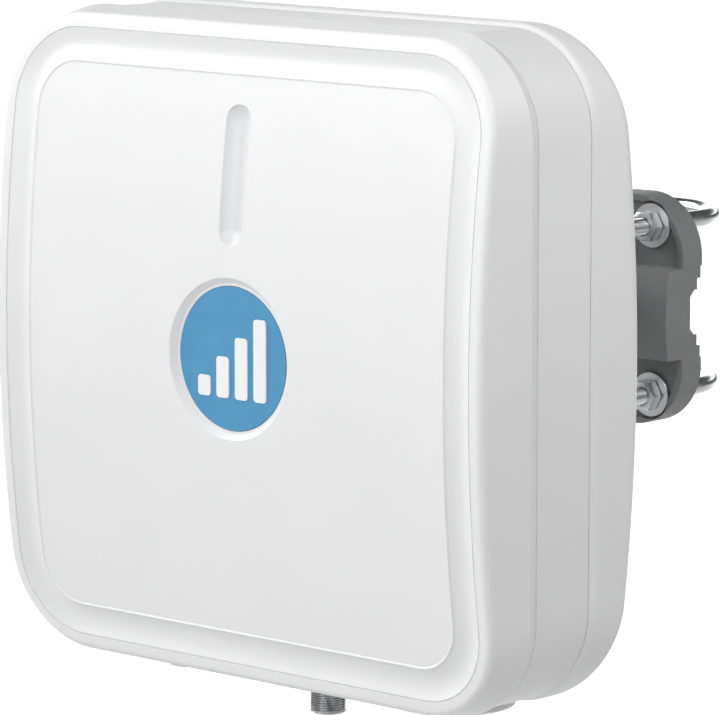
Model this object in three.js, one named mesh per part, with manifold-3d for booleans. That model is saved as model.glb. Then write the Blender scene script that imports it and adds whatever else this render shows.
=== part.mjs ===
// Outdoor wireless bridge: a square weatherproof antenna housing on a two-pivot arm, held to a
// mast by a toothed jaw and two U-bolts. Millimetres, +Z up, the housing faces -Y.
// Origin: the mast's axis, level with the middle of the clamp.

import * as THREE from 'three';
import { mergeVertices } from 'three/addons/utils/BufferGeometryUtils.js';
import Module from 'manifold-3d';

const wasm = await Module();
wasm.setup();

// ---- Driving dimensions -----------------------------------------------------------------------

const GAP = 0.3; // between pieces that touch

// Where the three groups stand.
const MAST_TO_SEAM = 250; // mast axis to the housing's front seam, along Y
const HOUSING_RISE = 1.5; // housing centre above the clamp centre
const JAW_PIVOT_Y = -67;
const HOUSING_PIVOT_Y = -150;

// Housing. Depths run from the front seam, and the front and back faces are bowed top to bottom.
const BAND_HALF = 145; // middle frame, half width and half height
const BAND_RADIUS = 44; // its corner radius
const CORNER_CENTRE = BAND_HALF - BAND_RADIUS;
const BAND_DEPTH = 36.4;
const SHELL_PROUD = 1.5; // front and rear shells stand out from the band by this
const FRONT_HALF = 144; // the front shell narrows to this at its rim
const WALL = 5;
const FRONT_Y = -33.6; // front rim on the centre line
const BACK_Y = 71; // back face on the centre line
const BOW = 0.00068; // both faces fall back by BOW * z * z
const LIP_INNER = { half: 136.9, radius: 34.8 }; // sharp inner edge of the front rim
const PANEL = { half: 123.1, radius: 22.1 }; // front panel
const CHANNEL_DEPTH = 1.85; // cove between rim and panel
const PANEL_THICK = 3;
const SCREW_AT = 120; // case screws, from the centre in X and in Z
const PAD = { half: 50, radius: 8, y: 71.4 }; // flat seat for the flange on the back

// Front badge and light window.
const BADGE = { radius: 31.5, mouth: 35.9, floor: 33.2, face: -30.3, thick: 1.7, boss: 41 };
const WINDOW = { halfX: 7.5, halfZ: 30.5, radius: 7, centreZ: 79.3, sink: 2.4, flange: 3.2 };

// Underside fittings, each at an x and a y from the front seam.
const JACK = { x: 11.5, y: 18.2, end: -162, thread: 7.94, bore: 4.4, inner: -131 };
const VENT = { x: -65.5, y: 10, radius: 9.6, face: -150.2, neck: 5 };
const COVER = { x: 76.3, y: 27, radius: 27.5, face: -149.5, thick: 2.7, cableY: 18.2, screwX: 19 };
const GROMMET_RADIUS = 7;

// Boards and plates inside.
const REFLECTOR = { half: 131, radius: 36, y: 4.2, thick: 1.5 };
const ANTENNA_BOARD = { half: 105, y: -9.6, thick: 1.6, spacerAt: 90 };
const RADIO_BOARD = { x0: -80, x1: 85, z0: -75, z1: 55, y: 16.2, thick: 1.6 };

// Bracket.
const EAR = { inner: 13.6, outer: 21.6, radius: 14 };
const ARM = { halfX: 13.2, endRadius: 13, halfWaist: 8.5 };
const PIVOT_HOLE = 4.35;
const FLANGE = { half: 45, radius: 8, thick: 5.5, screwAt: 34 };

// Mast clamp. Y from the mast axis.
const JAW = { half: 54, radius: 28.5, rimY: -36, floorY: -33.4, backY: -20.9, rim: 3.2 };
const BLOCK = { halfZ: 21, y: -48.7, bowRadius: 100 };
const GROOVE = [[-30.4, 7.5], [-27.4, 10.5], [-25.4, 10.5], [-25.4, 15.8], [-22.9, 15.8], [-22.9, 21.4]];
const LEG = { x: 34.5, z: 39.6 };
const ROD_RADIUS = 4;
const BEND_Y = -2.4; // centre of the U bend
const LEG_END_Y = -55;
const BOLT_HOLE = 4.5;
const NUT = { acrossFlats: 13, thick: 6.5, bore: 4.35 };
const WASHER = { radius: 10.5, bore: 4.45, thick: 1.6, seat: 10.9 };

// ---- Finishes ---------------------------------------------------------------------------------

const finish = (color, roughness, metalness = 0) =>
  new THREE.MeshStandardMaterial({ color, roughness, metalness });

const WHITE = finish(0xf4f5f5, 0.35);
const BLUE = finish(0x5a9dca, 0.45);
const LENS = finish(0xf8f8f8, 0.25);
const DARK = finish(0x4c4e50, 0.5);
const STEEL = finish(0xc9ced2, 0.25, 1);
const NICKEL = finish(0xb9bbb8, 0.3, 1);
const ALUMINIUM = finish(0xc4c7ca, 0.45, 1);
const TIN = finish(0xb4b7ba, 0.35, 1);
const GOLD = finish(0xd6b25a, 0.3, 1);
const BOARD = finish(0x1f5c3a, 0.5);
const RUBBER = finish(0x26282a, 0.8);
const BLACK = finish(0x1b1c1d, 0.5);
const NYLON = finish(0xe9e6dc, 0.5);

// ---- Solids -----------------------------------------------------------------------------------

const X = new THREE.Vector3(1, 0, 0);
const Y = new THREE.Vector3(0, 1, 0);
const Z = new THREE.Vector3(0, 0, 1);
const BACK = new THREE.Vector3(0, -1, 0);

// One closed body: vertices shared by position, faces pointing out.
function closed(geometry) {
  geometry.deleteAttribute('normal');
  geometry.deleteAttribute('uv');
  const body = mergeVertices(geometry, 1e-4);
  const p = body.attributes.position;
  const index = body.index.array;
  const [a, b, c] = [new THREE.Vector3(), new THREE.Vector3(), new THREE.Vector3()];
  let volume = 0;
  for (let i = 0; i < index.length; i += 3) {
    a.fromBufferAttribute(p, index[i]);
    b.fromBufferAttribute(p, index[i + 1]);
    c.fromBufferAttribute(p, index[i + 2]);
    volume += a.dot(b.cross(c));
  }
  if (volume < 0) {
    for (let i = 0; i < index.length; i += 3) {
      [index[i + 1], index[i + 2]] = [index[i + 2], index[i + 1]];
    }
  }
  return body;
}

function toSolid(geometry) {
  const body = closed(geometry.clone());
  const vertProperties = Float32Array.from(body.attributes.position.array);
  const triVerts = Uint32Array.from(body.index.array);
  return new wasm.Manifold(new wasm.Mesh({ numProp: 3, vertProperties, triVerts }));
}

function toGeometry(solid) {
  const { vertProperties, triVerts } = solid.getMesh();
  const geometry = new THREE.BufferGeometry();
  geometry.setAttribute('position', new THREE.BufferAttribute(Float32Array.from(vertProperties), 3));
  geometry.setIndex(new THREE.BufferAttribute(Uint32Array.from(triVerts), 1));
  return geometry;
}

function join(first, ...rest) {
  return toGeometry(rest.reduce((solid, g) => solid.add(toSolid(g)), toSolid(first)));
}

function cut(first, ...rest) {
  return toGeometry(rest.reduce((solid, g) => solid.subtract(toSolid(g)), toSolid(first)));
}

const common = (a, b) => toGeometry(toSolid(a).intersect(toSolid(b)));

// A box from its two corners.
function box([x0, y0, z0], [x1, y1, z1]) {
  const geometry = new THREE.BoxGeometry(x1 - x0, y1 - y0, z1 - z0);
  return geometry.translate((x0 + x1) / 2, (y0 + y1) / 2, (z0 + z1) / 2);
}

// A round bar along X, Y or Z, through [x, y, z] in the two other directions.
function bar(axis, radius, from, to, [x, y, z], sides = 20, farRadius = radius) {
  const geometry = new THREE.CylinderGeometry(farRadius, radius, to - from, sides);
  geometry.translate(0, (from + to) / 2, 0);
  if (axis === X) geometry.rotateZ(-Math.PI / 2);
  if (axis === Z) geometry.rotateX(Math.PI / 2);
  return geometry.translate(x, y, z);
}

// A flat shape drawn in X and Z, thickened from y0 to y1.
function plate(shape, y0, y1, curveSegments = 3) {
  const geometry = new THREE.ExtrudeGeometry(shape, { depth: y1 - y0, bevelEnabled: false, curveSegments });
  geometry.applyMatrix4(new THREE.Matrix4().makeBasis(X, Z, BACK));
  return geometry.translate(0, y1, 0);
}

// A flat shape drawn in Y and Z, thickened from x0 to x1.
function rib(shape, x0, x1, curveSegments = 5) {
  const geometry = new THREE.ExtrudeGeometry(shape, { depth: x1 - x0, bevelEnabled: false, curveSegments });
  geometry.applyMatrix4(new THREE.Matrix4().makeBasis(Y, Z, X));
  return geometry.translate(x0, 0, 0);
}

// A ring or spindle about a vertical line through x and y, from [radius, z] points.
function spindle(profile, x, y, sides = 20) {
  const geometry = new THREE.LatheGeometry(profile.map(([r, z]) => new THREE.Vector2(r, z)), sides);
  return geometry.rotateX(Math.PI / 2).translate(x, y, 0);
}

const washerRing = (inner, outer, z0, z1, x, y) =>
  spindle([[inner, z0], [outer, z0], [outer, z1], [inner, z1], [inner, z0]], x, y);

function roundedRectangle(halfX, halfZ, radius) {
  const shape = new THREE.Shape();
  shape.absarc(halfX - radius, halfZ - radius, radius, 0, Math.PI / 2);
  shape.absarc(radius - halfX, halfZ - radius, radius, Math.PI / 2, Math.PI);
  shape.absarc(radius - halfX, radius - halfZ, radius, Math.PI, 1.5 * Math.PI);
  shape.absarc(halfX - radius, radius - halfZ, radius, 1.5 * Math.PI, 2 * Math.PI);
  return shape;
}

function hexagon(acrossFlats) {
  const points = [];
  const radius = acrossFlats / Math.sqrt(3);
  for (let i = 0; i < 6; i += 1) {
    const turn = (i * Math.PI) / 3;
    points.push(new THREE.Vector2(radius * Math.cos(turn), radius * Math.sin(turn)));
  }
  return new THREE.Shape(points);
}

function polygon(points) {
  return new THREE.Shape(points.map(([u, v]) => new THREE.Vector2(u, v)));
}

// ---- Lofted shells ----------------------------------------------------------------------------

const CORNER_STEPS = 5;
const SIDE_STEPS = 6; // upright sides follow the bow

// Points round a rounded rectangle in X and Z. y is a number or a function of z.
function outline(halfX, halfZ, radius, y, centreZ = 0) {
  const points = [];
  const corners = [[1, 1], [-1, 1], [-1, -1], [1, -1]];
  corners.forEach(([sx, sz], quarter) => {
    const cx = sx * (halfX - radius);
    const cz = sz * (halfZ - radius);
    for (let i = 0; i <= CORNER_STEPS; i += 1) {
      const turn = ((quarter + i / CORNER_STEPS) * Math.PI) / 2;
      points.push([cx + radius * Math.cos(turn), cz + radius * Math.sin(turn)]);
    }
    const upright = quarter % 2 === 1;
    const [x, z] = points[points.length - 1];
    for (let i = 1; upright && i < SIDE_STEPS; i += 1) points.push([x, z - (2 * cz * i) / SIDE_STEPS]);
  });
  const depth = typeof y === 'function' ? y : () => y;
  return points.map(([x, z]) => new THREE.Vector3(x, depth(z + centreZ), z + centreZ));
}

// Skin over a list of equal rings. Its ends are closed, or joined to each other in a loop.
function loft(rings, loop = false) {
  const count = rings[0].length;
  const points = rings.flat();
  const index = [];
  const spans = loop ? rings.length : rings.length - 1;
  for (let k = 0; k < spans; k += 1) {
    const near = k * count;
    const far = ((k + 1) % rings.length) * count;
    for (let i = 0; i < count; i += 1) {
      const j = (i + 1) % count;
      index.push(near + i, near + j, far + j, near + i, far + j, far + i);
    }
  }
  if (!loop) {
    const ends = [[0, true], [rings.length - 1, false]];
    for (const [k, first] of ends) {
      const ring = rings[k];
      const middle = ring.reduce((sum, p) => sum.add(p), new THREE.Vector3()).divideScalar(count);
      points.push(middle);
      for (let i = 0; i < count; i += 1) {
        const a = k * count + i;
        const b = k * count + ((i + 1) % count);
        index.push(points.length - 1, first ? b : a, first ? a : b);
      }
    }
  }
  const geometry = new THREE.BufferGeometry().setFromPoints(points);
  geometry.setIndex(index);
  return closed(geometry);
}

const square = (half, radius, y) => outline(half, half, radius, y);
const offsetRing = (half, y) => square(half, half - CORNER_CENTRE, y);
const front = (offset) => (z) => FRONT_Y + offset + BOW * z * z;
const back = (offset) => (z) => BACK_Y + offset - BOW * z * z;

// Shrinking rings that carry a bowed face in to its middle.
const FACE_SCALES = [0.75, 0.5, 0.25, 0.03];
const face = (half, radius, y) => FACE_SCALES.map((s) => square(half * s, radius * s, y));

// ---- Assembly helpers -------------------------------------------------------------------------

const bridge = new THREE.Group();
const housing = new THREE.Group();
housing.position.set(0, -MAST_TO_SEAM, HOUSING_RISE);
bridge.add(housing);

function add(group, name, geometry, material) {
  const mesh = new THREE.Mesh(closed(geometry), material);
  mesh.name = name;
  group.add(mesh);
}

const SIGNS = [[-1, 1], [1, 1], [-1, -1], [1, -1]];

// Four like pieces, one in each quarter of the X-Z plane.
function addFour(group, name, distance, make, material) {
  SIGNS.forEach(([sx, sz], i) => {
    add(group, `${name}_${i + 1}`, make(sx * distance, sz * distance), material);
  });
}

const atScrews = (make) => SIGNS.map(([sx, sz]) => make(sx * SCREW_AT, sz * SCREW_AT));

// ---- Housing shells ---------------------------------------------------------------------------

const SHELL_HALF = BAND_HALF + SHELL_PROUD;
const INNER_HALF = SHELL_HALF - WALL;

function frontShell() {
  const innerFace = PANEL.half - 4;
  const innerRadius = PANEL.radius - 3;
  const skin = loft([
    ...face(innerFace, innerRadius, front(PANEL_THICK)).reverse(),
    square(innerFace, innerRadius, front(PANEL_THICK)),
    square(PANEL.half + 2, PANEL.radius + 2, front(CHANNEL_DEPTH + 3.2)),
    square(137, 36.5, front(CHANNEL_DEPTH + 3.9)),
    offsetRing(INNER_HALF, front(11)),
    offsetRing(INNER_HALF, 0),
    offsetRing(BAND_HALF + GAP, 0),
    offsetRing(SHELL_HALF, -1.4),
    offsetRing(FRONT_HALF, front(3.3)),
    square(143.5, 42.4, front(1.6)),
    square(142.35, 41, front(0.45)),
    square(140.7, 39.2, front(0)),
    square(LIP_INNER.half, LIP_INNER.radius, front(0)),
    square(LIP_INNER.half - 0.3, LIP_INNER.radius - 0.3, front(0.3)),
    square(133.1, 31.4, front(CHANNEL_DEPTH - 0.45)),
    square(129.4, 28.1, front(CHANNEL_DEPTH)),
    square(125.5, 24.5, front(CHANNEL_DEPTH - 0.65)),
    square(PANEL.half, PANEL.radius, front(0.1)),
    ...face(PANEL.half, PANEL.radius, front(0.1)),
  ]);
  const badgeBoss = bar(Y, BADGE.boss, -31, BADGE.face + 4, [0, 0, 0], 24);
  const screwBosses = atScrews((x, z) => bar(Y, 6, -19, -0.6, [x, 0, z], 12));
  const screwHoles = atScrews((x, z) => bar(Y, 2.5, -14, 1, [x, 0, z], 8));
  const slope = (BADGE.mouth - BADGE.floor) / 3;
  const recess = bar(Y, BADGE.mouth + slope, -34.3, BADGE.face + 0.3, [0, 0, 0], 36, BADGE.floor);
  const seat = bar(Y, BADGE.radius + GAP, BADGE.face - 1, BADGE.face + BADGE.thick + GAP, [0, 0, 0], 36);
  const slot = plate(roundedRectangle(WINDOW.halfX, WINDOW.halfZ, WINDOW.radius), -36, -15);
  slot.translate(0, 0, WINDOW.centreZ);
  return cut(join(skin, badgeBoss, ...screwBosses), recess, seat, slot, ...screwHoles);
}

function middleFrame() {
  const y0 = 0.4;
  const y1 = BAND_DEPTH - 0.4;
  const innerHalf = BAND_HALF - WALL;
  const grooveOuter = BAND_HALF - 1.1;
  const grooveInner = BAND_HALF - 3.5;
  const grooveDepth = 2.2;
  const ledgeHalf = 126;
  const ring = loft([
    offsetRing(BAND_HALF, y0), offsetRing(BAND_HALF, y1),
    offsetRing(grooveOuter, y1), offsetRing(grooveOuter, y1 - grooveDepth),
    offsetRing(grooveInner, y1 - grooveDepth), offsetRing(grooveInner, y1),
    offsetRing(innerHalf, y1), offsetRing(innerHalf, 9),
    offsetRing(ledgeHalf, 9), offsetRing(ledgeHalf, 6),
    offsetRing(innerHalf, 6), offsetRing(innerHalf, y0),
    offsetRing(grooveInner, y0), offsetRing(grooveInner, y0 + grooveDepth),
    offsetRing(grooveOuter, y0 + grooveDepth), offsetRing(grooveOuter, y0),
  ], true);
  const floorHole = (radius, x, y) => bar(Z, radius, -150, -135, [x, y, 0], 24);
  return cut(
    join(ring, ...atScrews((x, z) => bar(Y, 6.5, y0, y1, [x, 0, z], 12))),
    box([-90, 5, -innerHalf], [108, 10, -120]),
    floorHole(JACK.thread + 0.35, JACK.x, JACK.y),
    floorHole(VENT.neck + GAP, VENT.x, VENT.y),
    floorHole(GROMMET_RADIUS + GAP, COVER.x, COVER.cableY),
    floorHole(1.9, COVER.x - COVER.screwX, COVER.cableY),
    floorHole(1.9, COVER.x + COVER.screwX, COVER.cableY),
    ...atScrews((x, z) => bar(Y, 2.8, -1, BAND_DEPTH + 1, [x, 0, z], 8)),
  );
}

function rearShell() {
  const skin = loft([
    ...face(135, 34, back(-3.2)).reverse(),
    square(135, 34, back(-3.2)),
    square(140.2, 39.2, back(-6.6)),
    offsetRing(INNER_HALF, back(-10.5)),
    offsetRing(INNER_HALF, BAND_DEPTH),
    offsetRing(BAND_HALF + GAP, BAND_DEPTH),
    offsetRing(SHELL_HALF, BAND_DEPTH + 1.4),
    offsetRing(SHELL_HALF, back(-8.5)),
    square(145.9, 44.8, back(-5.2)),
    square(144, 42.7, back(-2.4)),
    square(141.2, 39.7, back(-0.7)),
    square(137.8, 36.5, back(0)),
    ...face(137.8, 36.5, back(0)),
  ]);
  const pad = plate(roundedRectangle(PAD.half, PAD.half, PAD.radius), 67, PAD.y);
  const holders = SIGNS.map(([sx, sz]) => [sx * FLANGE.screwAt, sz * FLANGE.screwAt]);
  return cut(
    join(
      skin, pad,
      ...atScrews((x, z) => bar(Y, 8, BAND_DEPTH + 0.3, 60, [x, 0, z], 16)),
      ...holders.map(([x, z]) => bar(Y, 6, 52, 69, [x, 0, z], 12)),
    ),
    ...atScrews((x, z) => bar(Y, 2.8, 30, 55, [x, 0, z], 8)),
    ...atScrews((x, z) => bar(Y, 5.4, 49.7, 76, [x, 0, z], 20)),
    ...holders.map(([x, z]) => bar(Y, 3.2, 54, 76, [x, 0, z], 12)),
  );
}

// A square seal lying in one of the middle frame's grooves.
const gasket = (y0, y1) => loft([
  offsetRing(143.6, y0), offsetRing(143.6, y1), offsetRing(141.8, y1), offsetRing(141.8, y0),
], true);

add(housing, 'front_shell', frontShell(), WHITE);
add(housing, 'middle_frame', middleFrame(), WHITE);
add(housing, 'rear_shell', rearShell(), WHITE);
add(housing, 'front_gasket', gasket(0.3, 2.3), RUBBER);
add(housing, 'rear_gasket', gasket(34.1, 36.1), RUBBER);

// A case screw, put in from the back.
const caseScrew = (x, z) => join(
  bar(Y, 2.2, -9, 51, [x, 0, z], 12),
  bar(Y, 4.8, 50, 54, [x, 0, z], 16),
);
addFour(housing, 'case_screw', SCREW_AT, caseScrew, STEEL);

// ---- Badge and light window -------------------------------------------------------------------

const badgeDisc = bar(Y, BADGE.radius, BADGE.face, BADGE.face + BADGE.thick, [0, 0, 0], 36);
add(housing, 'badge_disc', badgeDisc, BLUE);

function lightWindow() {
  const ring = (grow, offset) => outline(
    WINDOW.halfX + grow, WINDOW.halfZ + grow, WINDOW.radius + grow, front(offset), WINDOW.centreZ,
  );
  const rearOffset = PANEL_THICK + 0.4;
  return loft([
    ring(-GAP, WINDOW.sink), ring(-GAP, rearOffset),
    ring(WINDOW.flange, rearOffset), ring(WINDOW.flange, rearOffset + 1.6),
  ]);
}
add(housing, 'light_window', lightWindow(), LENS);

const lampRow = [56, 71, 87, 102].map((z) => box([-2, -20, z - 2], [2, -18, z + 2]));
const lampBoard = join(box([-6, -18.5, 49], [6, -16.9, 110]), ...lampRow);
add(housing, 'indicator_board', lampBoard, BOARD);

// ---- Antenna and radio ------------------------------------------------------------------------

const reflectorEnd = REFLECTOR.y + REFLECTOR.thick;
const reflector = cut(
  plate(roundedRectangle(REFLECTOR.half, REFLECTOR.half, REFLECTOR.radius), REFLECTOR.y, reflectorEnd),
  ...atScrews((x, z) => bar(Y, 7.2, 0, 10, [x, 0, z], 12)),
  box([-78, 0, -REFLECTOR.half - 1], [-53, 10, -REFLECTOR.half + 9]),
);
add(housing, 'reflector_plate', reflector, ALUMINIUM);

const antennaBack = ANTENNA_BOARD.y + ANTENNA_BOARD.thick;
const antennaPlate = roundedRectangle(ANTENNA_BOARD.half, ANTENNA_BOARD.half, 10);
add(housing, 'antenna_board', plate(antennaPlate, ANTENNA_BOARD.y, antennaBack), BOARD);

const antennaSpacer = (x, z) => bar(Y, 5, antennaBack + GAP, REFLECTOR.y - GAP, [x, 0, z], 12);
addFour(housing, 'antenna_spacer', ANTENNA_BOARD.spacerAt, antennaSpacer, NYLON);

const radioBack = RADIO_BOARD.y + RADIO_BOARD.thick;
const radioPlate = box(
  [RADIO_BOARD.x0, RADIO_BOARD.y, RADIO_BOARD.z0],
  [RADIO_BOARD.x1, radioBack, RADIO_BOARD.z1],
);
add(housing, 'radio_board', radioPlate, BOARD);

const standoffInset = 8;
[RADIO_BOARD.x0 + standoffInset, RADIO_BOARD.x1 - standoffInset].forEach((x, i) => {
  [RADIO_BOARD.z0 + standoffInset, RADIO_BOARD.z1 - standoffInset].forEach((z, j) => {
    const post = bar(Y, 3.5, reflectorEnd + GAP, RADIO_BOARD.y - GAP, [x, 0, z], 6);
    add(housing, `board_standoff_${2 * i + j + 1}`, post, NICKEL);
  });
});

const canFloor = radioBack + GAP;
const shieldCan = cut(
  box([-52, canFloor, -28], [12, canFloor + 5, 18]),
  box([-51.2, canFloor - 1, -27.2], [11.2, canFloor + 4.2, 17.2]),
);
add(housing, 'shield_can', shieldCan, TIN);

// Network socket on the board, its mouth facing down to the cable entry.
const socketX = RADIO_BOARD.x1 - 12;
const ethernetJack = cut(
  box([socketX - 8, canFloor, RADIO_BOARD.z0], [socketX + 8, canFloor + 13.5, RADIO_BOARD.z0 + 21]),
  box([socketX - 6, canFloor + 2.5, RADIO_BOARD.z0 - 1], [socketX + 6, canFloor + 10, RADIO_BOARD.z0 + 16]),
  box([socketX - 2, canFloor + 9, RADIO_BOARD.z0 - 1], [socketX + 2, canFloor + 12, RADIO_BOARD.z0 + 16]),
);
add(housing, 'ethernet_jack', ethernetJack, TIN);

// Coaxial jumper from the antenna jack up to the radio board.
const jumperRoute = new THREE.CatmullRomCurve3([
  [JACK.x, JACK.y, -124], [JACK.x, JACK.y + 0.5, -112], [4, 22, -97], [-8, 25, -84],
  [-13, 26, -72], [-14, 25, -60], [-14, 20.5, -50],
].map(([x, y, z]) => new THREE.Vector3(x, y, z)));
const jumperSection = new THREE.Shape().absarc(0, 0, 1.6, 0, 2 * Math.PI);
const jumper = new THREE.ExtrudeGeometry(jumperSection, {
  extrudePath: jumperRoute, steps: 22, curveSegments: 4, bevelEnabled: false,
});
add(housing, 'antenna_jumper', jumper, BLACK);

// ---- Underside fittings -----------------------------------------------------------------------

const floorZ = -BAND_HALF;
const jackFlangeZ = floorZ - 1.8;
const jackBody = spindle([
  [JACK.bore, JACK.end], [JACK.thread, JACK.end], [JACK.thread, jackFlangeZ - 2.4],
  [10.8, jackFlangeZ - 2.4], [10.8, jackFlangeZ], [JACK.thread, jackFlangeZ],
  [JACK.thread, JACK.inner], [JACK.bore, JACK.inner], [JACK.bore, JACK.end],
], JACK.x, JACK.y, 24);
add(housing, 'jack_body', jackBody, NICKEL);

const jackGasket = washerRing(8.3, 10.6, floorZ - 1.5, floorZ - GAP, JACK.x, JACK.y);
add(housing, 'jack_gasket', jackGasket, RUBBER);

const nutZ = floorZ + WALL + GAP;
const jackNutShape = new THREE.ExtrudeGeometry(hexagon(19), { depth: 3.2, bevelEnabled: false });
jackNutShape.translate(JACK.x, JACK.y, nutZ);
const jackNut = cut(jackNutShape, bar(Z, JACK.thread + GAP, nutZ - 1, nutZ + 5, [JACK.x, JACK.y, 0]));
add(housing, 'jack_nut', jackNut, NICKEL);

const jackInsulator = washerRing(1.8, JACK.bore - GAP, -152, JACK.inner - GAP, JACK.x, JACK.y);
add(housing, 'jack_insulator', jackInsulator, NYLON);

const jackContact = bar(Z, 1.5, -158, -127, [JACK.x, JACK.y, 0], 12);
add(housing, 'jack_contact', jackContact, GOLD);

const ventPlug = spindle([
  [0, VENT.face], [VENT.radius - 1, VENT.face], [VENT.radius, VENT.face + 1],
  [VENT.radius, floorZ - GAP], [VENT.neck, floorZ - GAP], [VENT.neck, floorZ + 8],
  [2, floorZ + 8], [2, floorZ - 2], [0, floorZ - 2],
], VENT.x, VENT.y, 24);
add(housing, 'vent_plug', ventPlug, WHITE);

const coverTop = COVER.face + COVER.thick;
const coverScrewXs = [COVER.x - COVER.screwX, COVER.x + COVER.screwX];
const cableCover = cut(
  bar(Z, COVER.radius, COVER.face, coverTop, [COVER.x, COVER.y, 0], 32),
  bar(Z, GROMMET_RADIUS + GAP, COVER.face - 1, coverTop + 1, [COVER.x, COVER.cableY, 0]),
  ...coverScrewXs.map((x) => bar(Z, 1.9, COVER.face - 1, coverTop + 1, [x, COVER.cableY, 0], 12)),
  ...coverScrewXs.map((x) => bar(Z, 3.4, COVER.face - 1, COVER.face + 1.4, [x, COVER.cableY, 0], 16)),
);
add(housing, 'cable_cover', cableCover, WHITE);

const coverGasket = washerRing(8.5, 13, coverTop + GAP, floorZ - GAP, COVER.x, COVER.cableY);
add(housing, 'cover_gasket', coverGasket, RUBBER);

const grommet = spindle([
  [0, COVER.face + 2], [3, COVER.face + 0.3], [GROMMET_RADIUS, COVER.face + 0.3],
  [GROMMET_RADIUS, floorZ + 7], [4, floorZ + 9], [0, floorZ + 9],
], COVER.x, COVER.cableY);
add(housing, 'cable_grommet', grommet, RUBBER);

coverScrewXs.forEach((x, i) => {
  const screw = join(
    bar(Z, 1.5, COVER.face + 1, floorZ + 8, [x, COVER.cableY, 0], 10),
    bar(Z, 3.1, COVER.face + 0.2, COVER.face + 1.2, [x, COVER.cableY, 0], 14),
  );
  add(housing, `cover_screw_${i + 1}`, screw, STEEL);
});

// ---- Flange on the back of the housing --------------------------------------------------------

// A fork ear in Y and Z: from the plane y0 out to the pivot, with a round end.
function earShape(y0, pivotY) {
  const away = Math.sign(pivotY - y0);
  const shape = new THREE.Shape();
  shape.moveTo(y0, -EAR.radius - 2);
  shape.lineTo(pivotY, -EAR.radius);
  shape.absarc(pivotY, 0, EAR.radius, -Math.PI / 2, Math.PI / 2, away < 0);
  shape.lineTo(y0, EAR.radius + 2);
  return shape;
}

function ears(y0, pivotY) {
  const shape = earShape(y0, pivotY);
  return [rib(shape, EAR.inner, EAR.outer), rib(shape, -EAR.outer, -EAR.inner)];
}

const pivotInHousing = HOUSING_PIVOT_Y + MAST_TO_SEAM;
const flangeY = PAD.y + GAP;
const flangeTop = flangeY + FLANGE.thick;
const pivotHole = (y, z) => bar(X, PIVOT_HOLE, -40, 40, [0, y, z], 12);
const flangeHoles = SIGNS.map(([sx, sz]) =>
  bar(Y, 3.4, flangeY - 1, flangeTop + 1, [sx * FLANGE.screwAt, 0, sz * FLANGE.screwAt], 16));
const flange = cut(
  join(
    plate(roundedRectangle(FLANGE.half, FLANGE.half, FLANGE.radius), flangeY, flangeTop),
    ...ears(flangeTop - 1, pivotInHousing).map((ear) => ear.translate(0, 0, -HOUSING_RISE)),
  ),
  pivotHole(pivotInHousing, -HOUSING_RISE), ...flangeHoles,
);
add(housing, 'base_flange', flange, DARK);

const flangeScrew = (x, z) => join(
  bar(Y, 2.8, 57, flangeTop + 1, [x, 0, z], 12),
  bar(Y, 5, flangeTop + GAP, flangeTop + 5, [x, 0, z], 20),
);
addFour(housing, 'flange_screw', FLANGE.screwAt, flangeScrew, STEEL);

// ---- Pivot bolts and arm ----------------------------------------------------------------------

function hexAlongX(acrossFlats, x0, x1, y) {
  return rib(hexagon(acrossFlats), x0, x1).translate(0, y, 0);
}

function addPivot(name, y) {
  const seat = EAR.outer + GAP;
  const bolt = join(hexAlongX(13, -seat - 5.3, -seat, y), bar(X, 4, -seat - 1, seat + 9, [0, y, 0], 12));
  const nut = cut(hexAlongX(13, seat, seat + 6.8, y), pivotHole(y, 0));
  add(bridge, `${name}_bolt`, bolt, STEEL);
  add(bridge, `${name}_nut`, nut, STEEL);
}
addPivot('jaw_pivot', JAW_PIVOT_Y);
addPivot('housing_pivot', HOUSING_PIVOT_Y);

function arm() {
  const ends = [JAW_PIVOT_Y, HOUSING_PIVOT_Y];
  const waist = box([-ARM.halfX, HOUSING_PIVOT_Y, -ARM.halfWaist], [ARM.halfX, JAW_PIVOT_Y, ARM.halfWaist]);
  const pockets = [-1, 1].map((side) => {
    const slot = rib(roundedRectangle(22, 4.5, 4.5), 0, 6);
    return slot.translate(side < 0 ? -ARM.halfX - 1 : ARM.halfX - 5, (ends[0] + ends[1]) / 2, 0);
  });
  return cut(
    join(waist, ...ends.map((y) => bar(X, ARM.endRadius, -ARM.halfX, ARM.halfX, [0, y, 0], 20))),
    ...pockets, ...ends.map((y) => pivotHole(y, 0)),
  );
}
add(bridge, 'arm', arm(), DARK);

// ---- Mast clamp -------------------------------------------------------------------------------

// Both mast grooves share one stepped V, cut from the back of the jaw.
function grooveShape() {
  const beyond = [[JAW.backY + 5, GROOVE[GROOVE.length - 1][1]]];
  const upper = [...GROOVE, ...beyond];
  const lower = upper.map(([y, z]) => [y, -z]).reverse();
  return polygon([...upper, ...lower]);
}

// The block across the jaw's middle has a bowed front.
function blockShape() {
  const { halfZ, y, bowRadius } = BLOCK;
  const swing = Math.asin(halfZ / bowRadius);
  const shape = new THREE.Shape();
  shape.moveTo(JAW.floorY + 2, -halfZ);
  shape.lineTo(JAW.floorY + 2, halfZ);
  shape.absarc(y + bowRadius, 0, bowRadius, Math.PI - swing, Math.PI + swing);
  return shape;
}

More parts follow.
